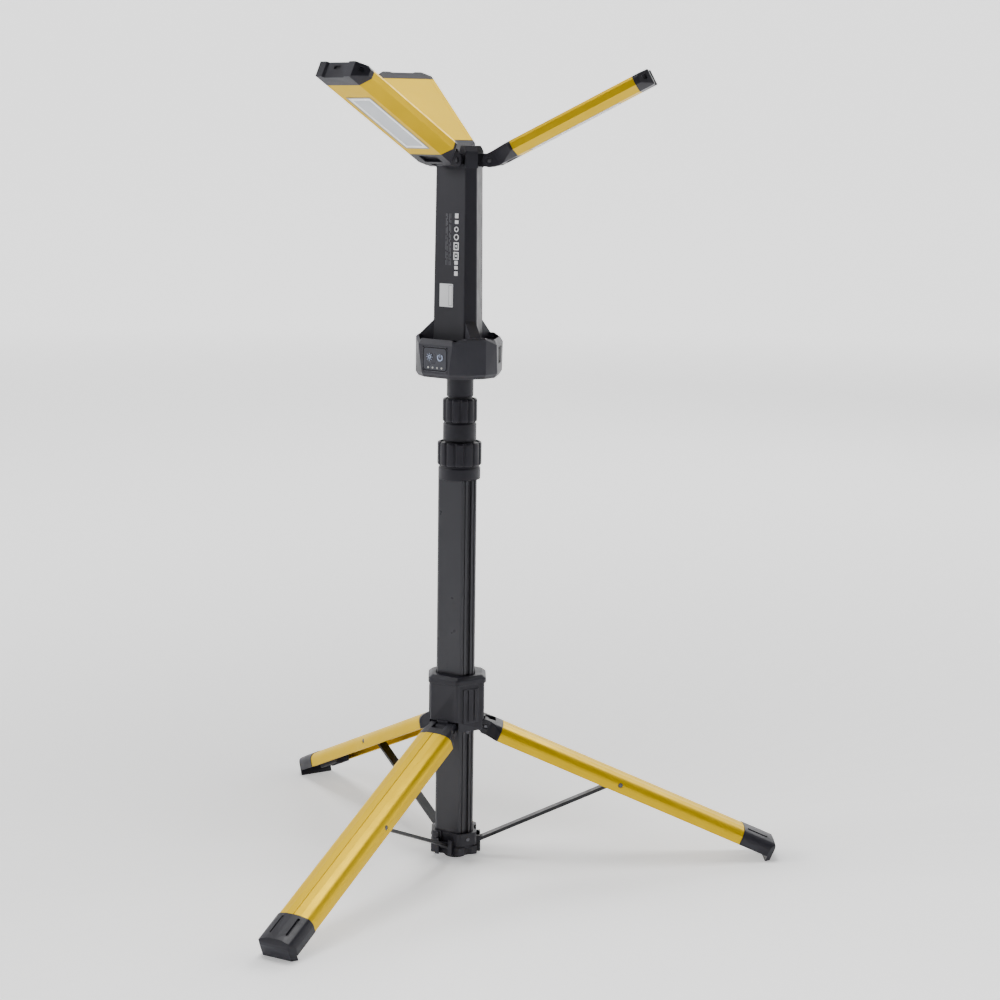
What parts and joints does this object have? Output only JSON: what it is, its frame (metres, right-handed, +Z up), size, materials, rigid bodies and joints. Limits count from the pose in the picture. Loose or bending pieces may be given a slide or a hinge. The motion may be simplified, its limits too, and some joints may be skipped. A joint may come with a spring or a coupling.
{
  "type": "tripod work light",
  "caption": "Rechargeable work light: hinged flat light heads around a battery lamp body on a telescopic mast with a folding tripod base.",
  "frame": {"origin": "centre of the flat underside of the mast end plug, on the floor, on the mast axis", "axes": "+Z up along the mast; +X along the right leg; +Y completes a right-handed frame"},
  "size_m": [0.5227, 0.6034, 0.8185],
  "materials": {
    "yellow_aluminium": "satin painted",
    "black_plastic": "fine moulded texture",
    "black_anodised": "black anodised satin",
    "zinc_steel": "zinc plated",
    "black_rubber": "matt",
    "diffuser": "milky translucent",
    "circuit_board": "solder mask",
    "cell_wrap": "shrink wrap",
    "frame_plastic": "natural",
    "button_face": "printed membrane"
  },
  "bodies": {
    "mast": {"mast_profile": "black_anodised", "mast_end_plug": "black_rubber", "base_ring": "black_plastic", "mast_screws": "zinc_steel", "lower_lock_ferrule": "black_plastic"},
    "collar": {"slide_collar": "black_plastic", "collar_top_rim": "black_plastic", "leg_hinge_pins": "zinc_steel"},
    "leg_front": {"leg_front_channel": "yellow_aluminium", "leg_front_root_cap": "black_plastic", "leg_front_foot": "black_plastic", "leg_front_strut_pin": "zinc_steel"},
    "strut_front": {"strut_front": "black_anodised"},
    "leg_right": {"leg_right_channel": "yellow_aluminium", "leg_right_root_cap": "black_plastic", "leg_right_foot": "black_plastic", "leg_right_strut_pin": "zinc_steel"},
    "strut_right": {"strut_right": "black_anodised"},
    "leg_rear": {"leg_rear_channel": "yellow_aluminium", "leg_rear_root_cap": "black_plastic", "leg_rear_foot": "black_plastic", "leg_rear_strut_pin": "zinc_steel"},
    "strut_rear": {"strut_rear": "black_anodised"},
    "lower_lock": {"lower_lock_collar": "black_plastic"},
    "middle": {"middle_tube": "black_anodised", "middle_tube_bush": "black_plastic", "upper_lock_ferrule": "black_plastic"},
    "upper_lock": {"upper_lock_collar": "black_plastic"},
    "upper": {"upper_tube": "black_anodised", "upper_tube_bush": "black_plastic"},
    "lamp": {"head_spigot": "black_plastic", "lamp_housing": "black_plastic", "control_box": "black_plastic", "box_base_plate": "black_plastic", "top_cap": "black_plastic", "battery_cells": "cell_wrap", "battery_frame": "frame_plastic", "control_board": "circuit_board", "control_panel": "button_face", "charge_socket": "zinc_steel", "housing_screws": "zinc_steel", "head_hinge_pins": "zinc_steel"},
    "power_key": {"power_button": "button_face"},
    "level_key": {"level_button": "button_face"},
    "port_flap": {"port_cover": "black_rubber"},
    "head_front": {"head_front_channel": "yellow_aluminium", "head_front_root_cap": "black_plastic", "head_front_tip_cap": "black_plastic", "head_front_lens": "diffuser", "head_front_led_board": "circuit_board"},
    "head_right": {"head_right_channel": "yellow_aluminium", "head_right_root_cap": "black_plastic", "head_right_tip_cap": "black_plastic", "head_right_lens": "diffuser", "head_right_led_board": "circuit_board"},
    "head_rear": {"head_rear_channel": "yellow_aluminium", "head_rear_root_cap": "black_plastic", "head_rear_tip_cap": "black_plastic", "head_rear_lens": "diffuser", "head_rear_led_board": "circuit_board"}
  },
  "joints": [
    {"name": "collar_slide", "type": "slide", "parent": "mast", "child": "collar", "axis": [0, 0, 1], "range_m": [0, 0.19082]},
    {"name": "leg_front_hinge", "type": "hinge", "parent": "collar", "child": "leg_front", "pos_m": [-0.015, -0.02598, 0.144], "axis": [0.866, -0.5, 0], "range_deg": [0, 66.65]},
    {"name": "strut_front_hinge", "type": "hinge", "parent": "leg_front", "child": "strut_front", "pos_m": [-0.08613, -0.14917, 0.08244], "axis": [-0.866, 0.5, 0], "range_deg": [0, 130.51]},
    {"name": "leg_right_hinge", "type": "hinge", "parent": "collar", "child": "leg_right", "pos_m": [0.03, 0, 0.144], "axis": [0, 1, 0], "range_deg": [0, 66.65]},
    {"name": "strut_right_hinge", "type": "hinge", "parent": "leg_right", "child": "strut_right", "pos_m": [0.17225, 0, 0.08244], "axis": [0, -1, 0], "range_deg": [0, 130.51]},
    {"name": "leg_rear_hinge", "type": "hinge", "parent": "collar", "child": "leg_rear", "pos_m": [-0.015, 0.02598, 0.144], "axis": [-0.866, -0.5, 0], "range_deg": [0, 66.65]},
    {"name": "strut_rear_hinge", "type": "hinge", "parent": "leg_rear", "child": "strut_rear", "pos_m": [-0.08613, 0.14917, 0.08244], "axis": [0.866, 0.5, 0], "range_deg": [0, 130.51]},
    {"name": "lower_lock_twist", "type": "hinge", "parent": "mast", "child": "lower_lock", "pos_m": [0, 0, 0.431], "axis": [0, 0, 1], "range_deg": [0, 60]},
    {"name": "middle_tube_slide", "type": "slide", "parent": "mast", "child": "middle", "axis": [0, 0, 1], "range_m": [0, 0.3]},
    {"name": "upper_lock_twist", "type": "hinge", "parent": "middle", "child": "upper_lock", "pos_m": [0, 0, 0.4755], "axis": [0, 0, 1], "range_deg": [0, 60]},
    {"name": "upper_tube_slide", "type": "slide", "parent": "middle", "child": "upper", "axis": [0, 0, 1], "range_m": [0, 0.3]},
    {"name": "lamp_swivel", "type": "hinge", "parent": "upper", "child": "lamp", "pos_m": [0, 0, 0.5], "axis": [0, 0, 1], "continuous": true},
    {"name": "head_front_hinge", "type": "hinge", "parent": "lamp", "child": "head_front", "pos_m": [-0.0188, -0.02273, 0.728], "axis": [0.7705, -0.6374, 0], "range_deg": [-62, 118]},
    {"name": "head_right_hinge", "type": "hinge", "parent": "lamp", "child": "head_right", "pos_m": [0.02909, -0.00492, 0.728], "axis": [0.1668, 0.986, 0], "range_deg": [-62, 118]},
    {"name": "head_rear_hinge", "type": "hinge", "parent": "lamp", "child": "head_rear", "pos_m": [-0.01028, 0.02765, 0.728], "axis": [-0.9373, -0.3486, 0], "range_deg": [-62, 118]},
    {"name": "power_press", "type": "slide", "parent": "lamp", "child": "power_key", "axis": [0.6374, 0.7705, 0], "range_m": [0, 0.001], "stiffness_N_per_m": 800, "springref_m": -0.0005},
    {"name": "level_press", "type": "slide", "parent": "lamp", "child": "level_key", "axis": [0.6374, 0.7705, 0], "range_m": [0, 0.001], "stiffness_N_per_m": 800, "springref_m": -0.0005},
    {"name": "port_cover_hinge", "type": "hinge", "parent": "lamp", "child": "port_flap", "pos_m": [0.03993, -0.00675, 0.5406], "axis": [-0.1668, -0.986, 0], "range_deg": [0, 110]}
  ],
  "couplings": [
    {"joint": "leg_front_hinge", "follows": "collar_slide", "rad_per_m": 6.0915},
    {"joint": "strut_front_hinge", "follows": "collar_slide", "rad_per_m": 11.933},
    {"joint": "leg_right_hinge", "follows": "collar_slide", "rad_per_m": 6.0915},
    {"joint": "strut_right_hinge", "follows": "collar_slide", "rad_per_m": 11.933},
    {"joint": "leg_rear_hinge", "follows": "collar_slide", "rad_per_m": 6.0915},
    {"joint": "strut_rear_hinge", "follows": "collar_slide", "rad_per_m": 11.933}
  ]
}
